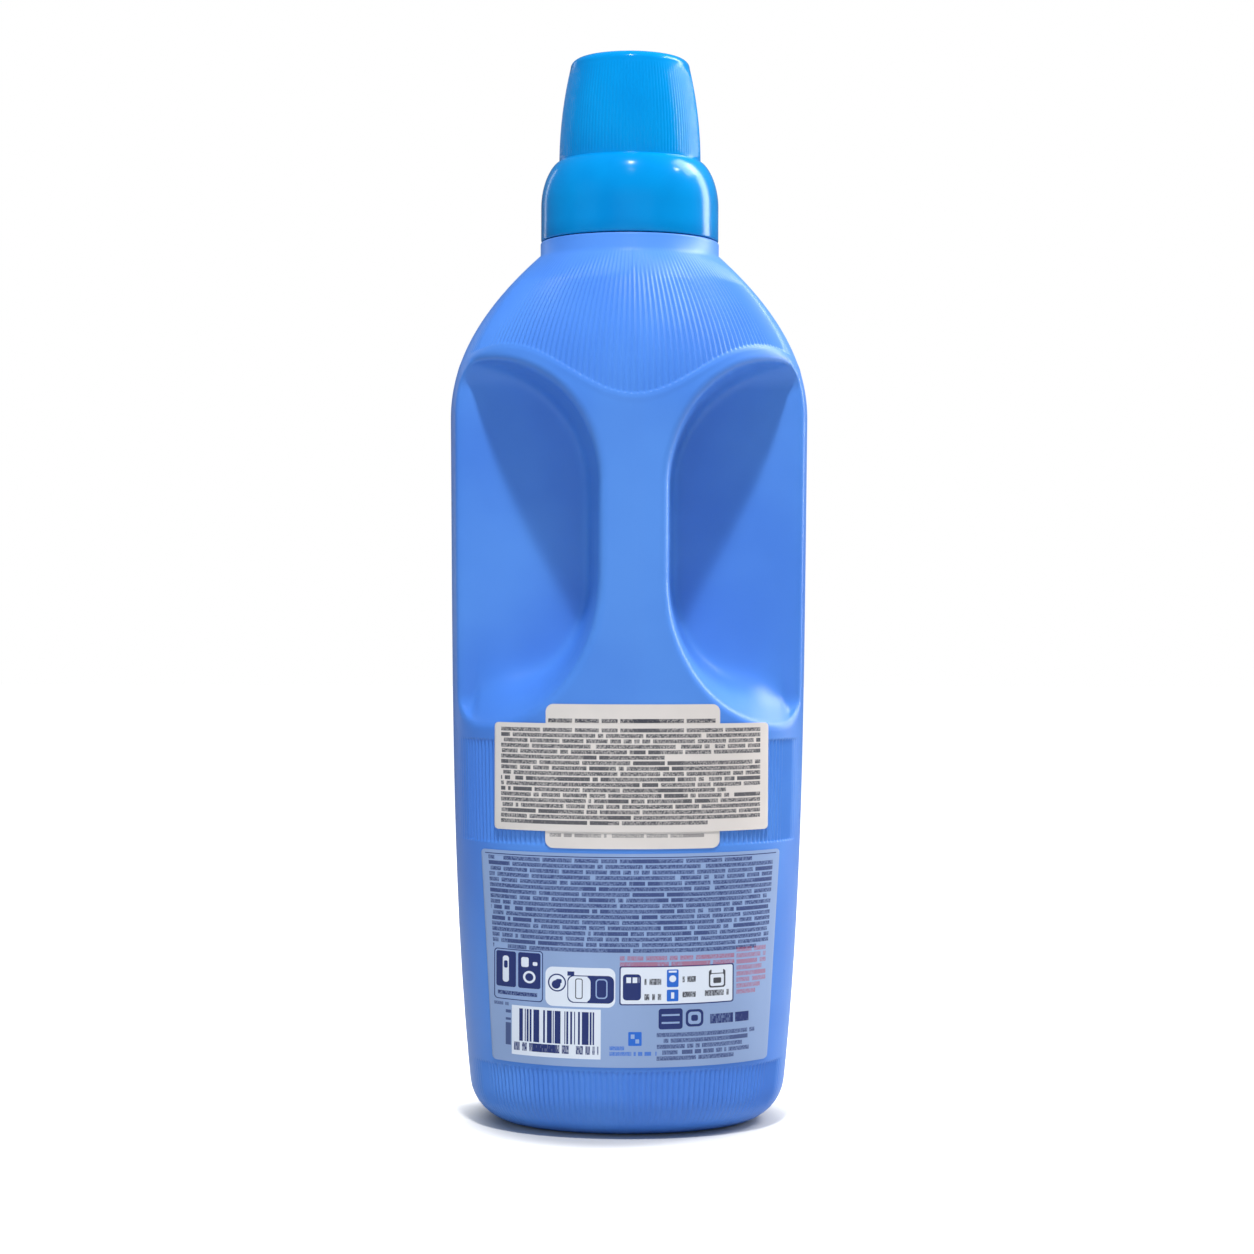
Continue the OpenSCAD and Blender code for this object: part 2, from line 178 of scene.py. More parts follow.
class Colours(bpy.types.PropertyGroup):
    """Colours as a lit surface shows them."""

    body: colour_prop("Body", (84, 140, 220), "Periwinkle blue of the body")
    body_deep: colour_prop("Body, deep", (72, 126, 212), "Where the plastic is thicker")
    cap: colour_prop("Cap", (0, 140, 208), "Teal blue of the cap")
    cap_deep: colour_prop("Cap, deep", (0, 126, 196), "Where the cap is thicker")
    spout: colour_prop("Spout", (176, 200, 236), "Pale blue of the pouring spout")
    film: colour_prop("Label film", (148, 170, 208), "Pale blue of the back label")
    navy: colour_prop("Navy print", (34, 48, 106), "Dark print on the label")
    paper: colour_prop("Paper", (224, 214, 206), "White of the stickers")
    grey: colour_prop("Grey print", (72, 72, 78), "Print on the stickers")
    red: colour_prop("Red print", (176, 60, 70), "Red lines on the label")
    white: colour_prop("White fields", (226, 230, 238), "White panels on the label")
    blue: colour_prop("Blue fields", (40, 104, 200), "Blue blocks on the label")


def clamp01(t):
    """t, held from 0 to 1."""
    return np.clip(t, 0.0, 1.0)


def smooth(t):
    """Three t squared less two t cubed, with t held from 0 to 1."""
    c = clamp01(t)
    return c * c * (3 - 2 * c)


def mix(a, b, t):
    """a where t is 0, b where t is 1, and straight between."""
    return a + (b - a) * t


def corner(h, r):
    """Inset of a rounded lower edge of radius r at height h: r less the root of r squared less (r - h) squared."""
    return np.where(h >= r, 0.0, r - np.sqrt(np.maximum(r * r - (r - h) ** 2, 0)))


class Skin:
    """The body's skin as a function of the angle u, 0 at the spine, the height z and the inset t."""

    groove_tip = 0.9 * MM  # length of a groove's round tip
    groove_end = 0.5 * MM  # height over which a groove comes up to the surface at its end
    foot_fade = 6 * MM  # height over which the lowest ribs fade out
    side_fade = 0.09  # share of the half width over which the ribs fade out at the sides
    seam_faint = 0.35  # share of the parting line's height that is left below the shoulder
    ridge_fade = 6 * MM  # distance from the middle plane over which the ridge fades out at the sides
    corner_power = 2.4  # power with which the recess's floor comes forward at the outer corners

    def __init__(self, sizes, ribs):
        self.s = sizes
        self.ribs = ribs
        self.collar_z = sizes.shoulder_z + sizes.shoulder_h
        self.collar_top_z = self.collar_z + sizes.collar_h
        self.rim_z = self.collar_top_z + sizes.neck_h
        self.top_z = sizes.spine_top_z + sizes.recess_rise
        self.low_z = sizes.spine_low_z - sizes.recess_fall

    def side(self, full, z, t):
        """The greatest half size, less a linear lean and a fourth power tuck, drawn in to the collar by the dome
        1 - w**fullness, where w is the share of the shoulder that is climbed."""
        s = self.s
        down = np.maximum(0, (s.shoulder_z - z) / s.shoulder_z)
        leaned = full * (1 - (s.lean * down + s.tuck * down**s.tuck_power) / (s.width / 2))
        dome = 1 - clamp01((z - s.shoulder_z) / s.shoulder_h) ** s.fullness
        return mix(s.collar_r, leaned, dome) - t

    def half_w(self, z, t=0.0):
        """Half width of the oval at height z, drawn in by the rounded edge of the base."""
        return self.side(self.s.width / 2, z, t) - corner(z - t, self.s.base_r - t)

    def half_d(self, z, t=0.0):
        """Half depth of the oval at height z, drawn in likewise."""
        return self.side(self.s.depth / 2, z, t) - corner(z - t, self.s.base_r - t)

    def outline(self, x, z):
        """Distance inside the recess's outline, and how level the outline runs there. The spine's edge is straight
        and turns into a quarter of an ellipse at either end, which is level at the crest. Past the crest a fuller
        curve, |x|**p + |z|**p, turns down to the side. With f the curve's own measure, 0 at its middle and 1 on it,
        the distance is 1 - f over the length of f's gradient."""
        s = self.s
        inner = x < s.crest_x
        a = np.where(inner, s.crest_x - s.spine_w / 2, s.turn_w)
        p = np.where(inner, 2.0, s.turn_power)
        near = np.abs(s.crest_x - x) / a
        b = np.where(z > s.spine_low_z, s.recess_rise, s.recess_fall)
        climb = (np.maximum(0, z - s.spine_top_z) + np.maximum(0, s.spine_low_z - z)) / b
        f = np.maximum(1e-3, (near**p + climb**p) ** (1 / p))
        along_x, along_z = (near / f) ** (p - 1) / a, (climb / f) ** (p - 1) / b
        gradient = np.maximum(1e-6, np.hypot(along_x, along_z))
        return (1 - f) / gradient, (along_z / gradient) ** 2

    def dent(self, x, y, z, t):
        """Depth of the recess behind the oval. Its wall starts with a rounded edge, R - sqrt(R**2 - e**2), and goes
        on straight. Its floor lies on a plane, which comes forward at the outer corners. The smaller of the two is
        taken with a rounded foot."""
        s = self.s
        away, level_run = self.outline(x, z)
        end = np.where(z > s.spine_low_z, s.ceiling_slope, s.ledge_slope)
        slope = s.wall_slope * (end / s.wall_slope) ** level_run
        r = s.edge_r - t
        long = np.sqrt(1 + slope**2)
        e = away + s.edge_r
        turned = r * slope / long
        arc = r - np.sqrt(np.maximum(0, r * r - np.clip(e, 0, turned) ** 2))
        cut = arc + slope * np.maximum(0, e - turned)
        across = (x - s.spine_w / 2) / (s.width / 2 - s.spine_w / 2)
        end_near = clamp01(1 - np.minimum(self.top_z - z, z - self.low_z) / s.turn_h)
        out = s.floor_out + s.floor_turn * end_near**self.corner_power
        bare = np.maximum(0, y - mix(s.floor_in, out, across) + t)
        level = np.sqrt(bare**2 + s.side_soft**2) - s.side_soft
        return cut * level / np.maximum(1e-9, (cut**4 + level**4) ** 0.25)

    def frame_line(self, x):
        """Height of the line that ends the shoulder's ribs: a cosine wave in x."""
        r = self.ribs
        return r.frame_z + r.frame_rise * (1 - np.cos(math.pi * x / r.frame_w)) / 2

    def groove(self, u, x, z):
        """Depth of the grooves: a raised cosine in u, times where ribs are. Each groove ends in a round tip."""
        r = self.ribs
        wave = (1 - np.cos(r.count * u)) / 2
        tip = self.groove_tip * (1 - np.sqrt(np.maximum(0, wave)))
        edge = self.groove_end
        line = self.frame_line(np.abs(x))
        above = smooth((z - line - tip) / edge) * smooth((r.top_z - z) / r.fade_h)
        band = smooth((r.band_top_z - tip - z) / edge) * smooth((z - r.panel_top_z - tip) / edge)
        foot = smooth((r.panel_low_z - tip - z) / edge) * smooth((z - r.foot_z) / self.foot_fade)
        grip_side = np.cos(u) > 0
        sides = smooth((r.reach - np.abs(np.sin(u))) / self.side_fade)
        return r.depth * wave * sides * grip_side * (above + band + foot)

    def seam(self, x, y, z):
        """Height of the parting line, a bell curve in x, and of the ridge under the frame line, one in z."""
        r = self.ribs
        share = mix(self.seam_faint, 1.0, smooth((z - r.frame_z) / r.fade_h))
        line = r.seam_h * np.exp(-((x / r.seam_w) ** 2)) * (z > r.foot_z) * share
        below = (self.frame_line(np.abs(x)) - r.ridge_w - z) / r.ridge_w
        return line + r.ridge_h * np.exp(-(below**2)) * smooth(y / self.ridge_fade)

    def point(self, u, z, t=0.0, fine=True):
        """x = a sin u, y = -b cos u plus the recess's depth, and, on the outside, ribs and seam along the oval's
        own normal."""
        s = self.s
        a, b = self.half_w(z, t), self.half_d(z, t)
        x, y = a * np.sin(u), b * np.cos(u)
        inside = (y > 0) & (z > self.low_z - s.edge_r) & (z < self.top_z + s.edge_r)
        dent = np.where(inside, self.dent(np.abs(x), y, z, t), 0.0)
        if fine:
            off = self.seam(x, y, z) - self.groove(u, x, z)
            long = np.hypot(x / (a * a), y / (b * b))
            nx, ny = x / (a * a) / long, y / (b * b) / long
            x, y = x + off * nx, y + off * ny
        return np.stack([x, -y + dent, z + 0 * u], axis=-1)


def closed_mesh(name, rows, first, last):
    """A closed surface: rows of points, one row after another, each row a closed ring, with a point at each end."""
    rows = np.asarray(rows)
    m, n = rows.shape[:2]
    points = np.concatenate([rows.reshape(-1, 3), [first, last]])
    i, j = np.meshgrid(np.arange(m - 1), np.arange(n), indexing="ij")
    k = (j + 1) % n
    quads = np.stack([i * n + j, i * n + k, (i + 1) * n + k, (i + 1) * n + j], axis=-1).reshape(-1, 4)
    here = np.arange(n)
    after = (here + 1) % n
    foot = np.stack([np.full(n, m * n), after, here], axis=-1)
    head = np.stack([np.full(n, m * n + 1), (m - 1) * n + here, (m - 1) * n + after], axis=-1)
    return mesh_object(name, points, quads, np.concatenate([foot, head]))


def mesh_object(name, points, quads, tris=()):
    """An object from arrays of points, four-cornered and three-cornered faces, smooth but for its sharp edges."""
    mesh = bpy.data.meshes.new(name)
    tris = np.asarray(tris, int).reshape(-1, 3)
    loops = np.concatenate([quads.ravel(), tris.ravel()]).astype(np.int32)
    sizes = np.concatenate([np.full(len(quads), 4), np.full(len(tris), 3)])
    starts = np.concatenate([[0], np.cumsum(sizes)[:-1]]).astype(np.int32)
    mesh.vertices.add(len(points))
    mesh.vertices.foreach_set("co", np.asarray(points, np.float32).ravel())
    mesh.loops.add(len(loops))
    mesh.loops.foreach_set("vertex_index", loops)
    mesh.polygons.add(len(sizes))
    mesh.polygons.foreach_set("loop_start", starts)
    mesh.update(calc_edges=True)
    mesh.validate()
    mesh.shade_smooth()
    mesh.set_sharp_from_angle(angle=math.radians(50))
    made = bpy.data.objects.new(name, mesh)
    bpy.context.scene.collection.objects.link(made)
    return made


def run(*stops):
    """Heights through the stops (start, end, step): evenly spaced, each stretch without its last point."""
    return np.concatenate([np.arange(a, b - 1e-9, step) for a, b, step in stops]) * MM


def skin_angles(ribs, per_rib=4, side=14, rear=30):
    """Angles round the body: per_rib columns to a rib where the ribs are, fewer at the sides and round the front."""
    whole = round(math.asin(ribs.reach) / (2 * math.pi) * ribs.count)
    reach = whole * 2 * math.pi / ribs.count
    fine = np.linspace(-reach, reach, 2 * whole * per_rib + 1)
    right = np.linspace(reach, RIGHT_ANGLE, side + 1)[1:]
    coarse = np.linspace(RIGHT_ANGLE, 3 * RIGHT_ANGLE, rear + 1)[1:-1]
    seam = math.pi + 0.004 * np.array([-1.5, -0.5, 0.5, 1.5])  # close columns on the parting line
    return np.concatenate([-right[::-1], fine, right, np.sort(np.concatenate([coarse, seam]))])


def ring(r, z, u):
    """Points at the angles u round +Z, on a circle of radius r at height z."""
    return np.stack([r * np.sin(u), -r * np.cos(u), z + 0 * u], axis=-1)


def build_bottle(skin):
    """The body: an outer skin from the base's middle up to the rim, and an inner one back down."""
    s, r = skin.s, skin.ribs
    u = skin_angles(r)
    foot_in = s.base_r + s.foot_w

    def foot(inset, z):
        """An oval like the body's at its foot, less the inset."""
        a, b = skin.side(s.width / 2, 0.0, inset), skin.side(s.depth / 2, 0.0, inset)
        return np.stack([a * np.sin(u), -b * np.cos(u), z + 0 * u], axis=-1)

    # The hollow under the base: inset past the foot ring, and share of the push-up's height
    hollow = ((15 * MM, 0.95), (5 * MM, 0.55))
    edge = s.base_r * (1 - np.cos(np.radians(np.arange(10, 91, 10))))
    # Rows stand closer where ribs end, at the recesses and on the frame line
    heights = run(
        (14.1, 21.2, 1.8), (21.2, 23.0, 0.3), (23.0, 93.5, 11), (93.5, 96.2, 0.3), (96.2, 126.5, 6),
        (126.5, 129.1, 0.3), (129.1, 134, 0.8), (134, 164, 0.75), (164, 182, 2), (182, 208, 5), (208, 243, 0.6),
        (243, 253, 0.33), (253, 257, 0.8), (257, 289.2, 2.3),
    )
    middle = r.frame_z + r.frame_rise / 2
    line = skin.frame_line(np.minimum(np.abs(skin.half_w(middle) * np.sin(u)), s.width / 2))
    outside = [foot(foot_in + inset, s.push_up * share) for inset, share in hollow]
    outside += [foot(foot_in, 0.0), foot(s.base_r + 0.6 * MM, 0.0)]
    outside += [skin.point(u, z) for z in edge]
    bend_h = 24 * MM  # height from the frame line over which the rows bend along with it
    for z in heights:
        near = smooth(1 - abs(z - middle) / bend_h)
        outside.append(skin.point(u, z + (line - middle) * near))
    fillet = 0.6 * MM
    outside += [
        ring(s.collar_r, skin.collar_z, u),
        ring(s.collar_r, skin.collar_top_z - fillet, u),
        ring(s.collar_r - fillet / 3, skin.collar_top_z - fillet / 3, u),
        ring(s.collar_r - fillet, skin.collar_top_z, u),
        ring(s.neck_r, skin.collar_top_z, u),
        ring(s.neck_r, skin.rim_z - fillet / 2, u),
        ring(s.neck_r - fillet / 2, skin.rim_z, u),
    ]
    neck_in, w = s.neck_r - s.neck_wall, s.wall
    past, extra = 4 * MM, 0.8 * MM  # round the recesses the wall is drawn as much thicker
    inside = [ring(neck_in, skin.rim_z, u), ring(neck_in, skin.collar_top_z, u)]
    inside += [ring(s.collar_r - s.neck_wall, z, u) for z in (skin.collar_top_z - s.neck_wall, skin.collar_z)]
    for z in run((s.base_r / MM, 130, 39), (130, 165, 2.5), (165, 208, 14), (208, 255, 2.6), (255, 286, 12))[::-1]:
        thick = w + extra * (skin.low_z - past < z < skin.top_z + past)
        inside.append(skin.point(u, z, thick, fine=False))
    inside += [skin.point(u, w + (s.base_r - w) * (1 - math.cos(a)), w, fine=False) for a in (1.0, 0.5)]
    inside += [foot(foot_in + w / 2, w)]
    inside += [foot(foot_in + inset, s.push_up * share + w) for inset, share in hollow[::-1]]
    return closed_mesh("bottle_skin", outside + inside, (0, 0, s.push_up), (0, 0, s.push_up + w))


def helix(name, r, z0, pitch, turns, height, width, inward=False, per_turn=96):
    """A screw thread: a rounded ridge carried up a helix, its height growing and fading over a sixth of a turn."""
    n = int(per_turn * turns) + 1
    along = np.linspace(0, turns, n)
    grow = smooth(along * 6) * smooth((turns - along) * 6)
    across = np.linspace(0, 1, 7)
    crest = (1 - np.abs(2 * across - 1) ** 3)[None, :] * grow[:, None] * height
    sign = -1 if inward else 1
    flank, root = 0.15 * MM, 0.4 * MM  # how deep the ridge's flanks and its middle lie in the wall
    radius = r + sign * (crest - flank)
    z = z0 + pitch * along[:, None] + width * (across[None, :] - 0.5)
    u = 2 * math.pi * along[:, None]
    back = ring(r - sign * root, z[:, 3], u[:, 0])
    rows = np.concatenate([ring(radius, z, u), back[:, None, :]], axis=1)[:, ::-sign]
    return closed_mesh(name, rows, rows[0].mean(0), rows[-1].mean(0))


def cap_profile(c, skin):
    """The cap's section as rows of (radius, height, share of the rib's height), outside then inside, with the
    number of rows outside and the heights of the top's middle and of the roof inside."""
    skirt_r = skin.s.collar_r - 0.5 * c.gap
    low = skin.collar_top_z + c.gap
    step = low + c.skirt_h
    top = step + c.cup_h
    flange_top = skin.rim_z + c.spout_wall

    def cup(s):
        """Radius of the cup at the share s of its height: it shrinks with s squared."""
        return c.cup_r - c.cup_draw * s * s

    def arc(n, start=0.0):
        """n angles up to a right angle."""
        return np.radians(np.linspace(start, 90, n))

    edge = 0.5 * MM  # radius of the small edges
    dish = 0.35 * MM  # how much the top is dished inside its rim
    round_power = 1.4  # fullness of the skirt's shoulder
    rows = [(skirt_r - edge, low, 0), (skirt_r - 0.15 * MM, low + 0.12 * MM, 0), (skirt_r, low + edge, 0)]
    rows += [(skirt_r, low + c.skirt_h * f, 0) for f in (0.2, 0.4)]
    rows += [
        (mix(c.cup_r + c.step_w, skirt_r, math.cos(a) ** round_power), step - c.skirt_round_h * (1 - math.sin(a)), 0)
        for a in arc(18)
    ]
    rows += [(c.cup_r + c.step_w * 0.45, step + 0.05 * MM, 0), (c.cup_r, step + 0.25 * MM, 0)]
    straight = 1 - c.cup_edge_r / c.cup_h
    for f in np.concatenate([np.linspace(0.012, 0.06, 4), np.linspace(0.1, 0.86, 12), np.linspace(0.89, 1, 6)]):
        s = straight * f
        ribbed = smooth((f - 0.012) / 0.04) * smooth((1 - f) / 0.12)
        rows.append((cup(s), step + c.cup_h * s, float(ribbed)))
    top_r = cup(1) - c.cup_edge_r
    rows += [
        (top_r + (cup(straight) - top_r) * math.cos(a), top - c.cup_edge_r * (1 - math.sin(a)), 0)
        for a in arc(9, 10)
    ]
    rows += [(top_r * f, top - dish * smooth((0.93 - f) / 0.1), 0) for f in (0.96, 0.93, 0.88, 0.82, 0.5, 0.15)]
    outside = len(rows)
    roof = top - c.cup_wall
    rows += [(top_r * f, roof, 0) for f in (0.15, 0.6, 0.9)]
    rows += [
        (cup(s) - c.cup_wall, step + c.cup_h * s, 0) for s in (1 - c.cup_wall / c.cup_h) * np.linspace(0.97, 0, 8)
    ]
    cup_in, closes_z = c.cup_r - c.cup_wall, flange_top + c.gap
    rows += [(cup_in, closes_z + edge, 0), (cup_in + edge, closes_z, 0)]
    rows += [(c.cup_r - edge, closes_z, 0), (c.cup_r, closes_z + edge, 0)]
    skirt_in, fall = skirt_r - c.skirt_wall, c.skirt_round_h - c.skirt_wall
    rows += [
        (mix(c.cup_r, skirt_in, math.cos(a) ** round_power), step - c.skirt_wall - fall * (1 - math.sin(a)), 0)
        for a in arc(7)[::-1]
    ]
    rows += [(skirt_in, low + edge, 0), (skirt_in + edge, low, 0)]
    return np.array(rows, float), outside, top - dish, roof


def build_cap(c, skin, per_rib=8):
    """The cap: its section turned round +Z, with each radius raised by a rounded rib wave."""
    rows, split, top, roof = cap_profile(c, skin)
    turn = np.linspace(0, 2 * math.pi, c.ribs * per_rib, endpoint=False)
    wave = np.abs(np.sin(c.ribs * turn / 2)) ** 0.8 - 1
    radius = rows[:, 0, None] + rows[:, 2, None] * wave[None, :] * c.rib_h
    points = ring(radius, rows[:, 1, None], turn)
    m, n = radius.shape
    everything = np.concatenate([points.reshape(-1, 3), [(0, 0, top), (0, 0, roof)]])
    pairs = [(i, i + 1) for i in range(m - 1) if i != split - 1] + [(m - 1, 0)]
    j = np.arange(n)
    k = (j + 1) % n
    quads = np.concatenate([np.stack([a * n + j, a * n + k, b * n + k, b * n + j], axis=-1) for a, b in pairs])
    head = np.stack([np.full(n, m * n), (split - 1) * n + j, (split - 1) * n + k], axis=-1)
    ceiling = np.stack([np.full(n, m * n + 1), split * n + k, split * n + j], axis=-1)
    return mesh_object("cap_skin", everything, quads, np.concatenate([head, ceiling]))


def sheet(name, skin, low, high, low_w, high_w, r, lift, thick, columns=160, rows=72):
    """A label: a grid over its outline, laid on the oval and lifted off it, given its thickness and closed round its
    edge. Its UV map holds x and the height above its foot, UV_PER_M to a metre."""
    h = high - low
    turned = r * (1 - np.cos(np.linspace(0, RIGHT_ANGLE, 8)))
    dz = np.concatenate([turned[:-1], np.linspace(r, h - r, rows), (h - turned)[::-1][1:]])
    reach = mix(low_w, high_w, dz / h) / 2 - corner(dz, r) - corner(h - dz, r)
    x = reach[:, None] * np.linspace(-1, 1, columns)[None, :]
    z = low + dz[:, None] + 0 * x

    def laid(off):
        """The grid on the oval widened by off: y = -b sqrt(1 - (x / a)**2)."""
        a, b = skin.half_w(z) + off, skin.half_d(z) + off
        return np.stack([x, -b * np.sqrt(1 - (x / a) ** 2), z], axis=-1)

    front, back = laid(lift + thick), laid(lift)
    m, n = x.shape
    points = np.concatenate([front.reshape(-1, 3), back.reshape(-1, 3)])
    i, j = np.meshgrid(np.arange(m - 1), np.arange(n - 1), indexing="ij")
    face = np.stack([i * n + j, i * n + j + 1, (i + 1) * n + j + 1, (i + 1) * n + j], axis=-1).reshape(-1, 4)
    foot, right = np.arange(n), np.arange(1, m) * n + n - 1
    head, left = (m - 1) * n + np.arange(n - 2, -1, -1), np.arange(m - 2, 0, -1) * n
    around = np.concatenate([foot, right, head, left])
    following = np.roll(around, -1)
    rim = np.stack([around, around + m * n, following + m * n, following], axis=-1)
    made = mesh_object(name, points, np.concatenate([face, face[:, ::-1] + m * n, rim]))
    layer = made.data.uv_layers.new(name="print")
    index = np.zeros(len(made.data.loops), np.int32)
    made.data.loops.foreach_get("vertex_index", index)
    flat = np.stack([x, z - low], axis=-1).reshape(-1, 2) * UV_PER_M
    layer.data.foreach_set("uv", np.concatenate([flat, flat])[index].astype(np.float32).ravel())
    return made


class Wire:
    """A socket in a shader, on which Python's arithmetic adds Math nodes."""

    def __init__(self, finish, socket):
        self.finish = finish
        self.socket = socket

    def maths(self, kind, *others, flip=False):
        values = [*others, self] if flip else [self, *others]
        return self.finish.node("ShaderNodeMath", {"operation": kind}, dict(enumerate(values)))

    def __add__(self, other):
        return self.maths("ADD", other)

    __radd__ = __add__

    def __sub__(self, other):
        return self.maths("SUBTRACT", other)

    def __rsub__(self, other):
        return self.maths("SUBTRACT", other, flip=True)

    def __mul__(self, other):
        return self.maths("MULTIPLY", other)

    __rmul__ = __mul__

    def __truediv__(self, other):
        return self.maths("DIVIDE", other)

    def __rtruediv__(self, other):
        return self.maths("DIVIDE", other, flip=True)

    def __gt__(self, other):
        return self.maths("GREATER_THAN", other)

    def __lt__(self, other):
        return self.maths("LESS_THAN", other)

    def floor(self):
        return self.maths("FLOOR")

    def absolute(self):
        return self.maths("ABSOLUTE")

    def step(self, low, high):
        """0 under low, 1 over high, smooth between."""
        ranges = {"interpolation_type": "SMOOTHSTEP"}
        return self.finish.node("ShaderNodeMapRange", ranges, {0: self, 1: low, 2: high, 3: 0.0, 4: 1.0})


class Finish:
    """One material, with a method for any node and the shader's constants set on its own sockets."""

    def __init__(self, name, **constants):
        self.material = bpy.data.materials.new(name)
        self.material.use_nodes = True
        self.tree = self.material.node_tree
        self.shader = self.tree.nodes["Principled BSDF"]
        for socket, value in constants.items():
            self.shader.inputs[socket.replace("_", " ").title().replace("Ior", "IOR")].default_value = value
        self.object = Wire(self, self.tree.nodes.new("ShaderNodeTexCoord").outputs["Object"])

    def node(self, kind, settings=None, inputs=None, output=0):
        """Any node: its settings first, then the values or links of its sockets, by number or name."""
        made = self.tree.nodes.new(kind)
        for key, value in (settings or {}).items():
            setattr(made, key, value)
        for key, value in (inputs or {}).items():
            if isinstance(value, Wire):
                self.tree.links.new(value.socket, made.inputs[key])
            else:
                made.inputs[key].default_value = value
        return Wire(self, made.outputs[output])

    def noise(self, vector, scale, detail=2.0, roughness=0.5):
        sockets = {"Vector": vector, "Scale": scale, "Detail": detail, "Roughness": roughness}
        return self.node("ShaderNodeTexNoise", None, sockets, "Fac")

    def stretch(self, vector, scale):
        return self.node("ShaderNodeMapping", None, {"Vector": vector, "Scale": scale})

    def blend(self, share, first, second):
        """A mix of two colours by share."""
        made = self.tree.nodes.new("ShaderNodeMix")
        made.data_type = "RGBA"
        for key, value in ((0, share), (6, first), (7, second)):
            if isinstance(value, Wire):
                self.tree.links.new(value.socket, made.inputs[key])
            else:
                made.inputs[key].default_value = value if key == 0 else (*value[:3], 1.0)
        return Wire(self, made.outputs[2])

    def feed(self, socket, wire):
        self.tree.links.new(wire.socket, self.shader.inputs[socket])

    def bump(self, height, distance, strength=1.0):
        sockets = {"Height": height, "Distance": distance, "Strength": strength}
        self.feed("Normal", self.node("ShaderNodeBump", None, sockets))


def body_plastic(colours):
    """Satin blown plastic: faint clouds of depth, fine draw lines up the wall and a sandblasted grain."""
    f = Finish("body_plastic", ior=1.5, specular_ior_level=0.33)
    cloud = f.noise(f.object, 14.0, 3.0)
    f.feed("Base Color", f.blend(cloud.step(0.35, 0.68), colours.body, colours.body_deep))
    draw = f.noise(f.stretch(f.object, (260, 260, 9)), 1.0, 2.0)
    grain = f.noise(f.object, 2600.0, 2.0, 0.6)
    f.feed("Roughness", 0.31 + 0.07 * draw + 0.06 * grain)
    f.bump(grain * 0.6 + draw * 0.5, 0.00003, 0.5)
    return f.material


def cap_plastic(colours):
    """Clean injection-moulded plastic with a gloss, a little deeper where it is thick, with faint flow waves."""
    f = Finish("cap_plastic", ior=1.5, specular_ior_level=0.22)
    cloud = f.noise(f.object, 30.0, 2.0)
    f.feed("Base Color", f.blend(cloud.step(0.3, 0.7), colours.cap, colours.cap_deep))
    wave = f.noise(f.stretch(f.object, (1, 1, 0.35)), 170.0, 2.0)
    fine = f.noise(f.object, 1900.0, 2.0)
    f.feed("Roughness", 0.12 + 0.05 * wave + 0.05 * fine)
    f.bump(wave * 0.8 + fine * 0.15, 0.00005, 0.45)
    return f.material


def spout_plastic(colours):
    """Pale matt plastic with a fine grain and soft clouds."""
    f = Finish("spout_plastic", ior=1.5)
    cloud = f.noise(f.object, 60.0, 2.0)
    deep = [v * 0.86 for v in colours.spout]
    f.feed("Base Color", f.blend(cloud.step(0.3, 0.7), colours.spout, deep))
    grain = f.noise(f.object, 2400.0, 2.0)
    f.feed("Roughness", 0.36 + 0.12 * grain)
    f.bump(grain, 0.00002, 0.4)
    return f.material


def dress(piece, material, body, slot, *nodes):
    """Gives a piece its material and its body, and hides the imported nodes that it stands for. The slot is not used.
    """
    piece.data.materials.clear()
    piece.data.materials.append(material)
    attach(piece, body)
    if nodes:
        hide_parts(*nodes)
    return piece


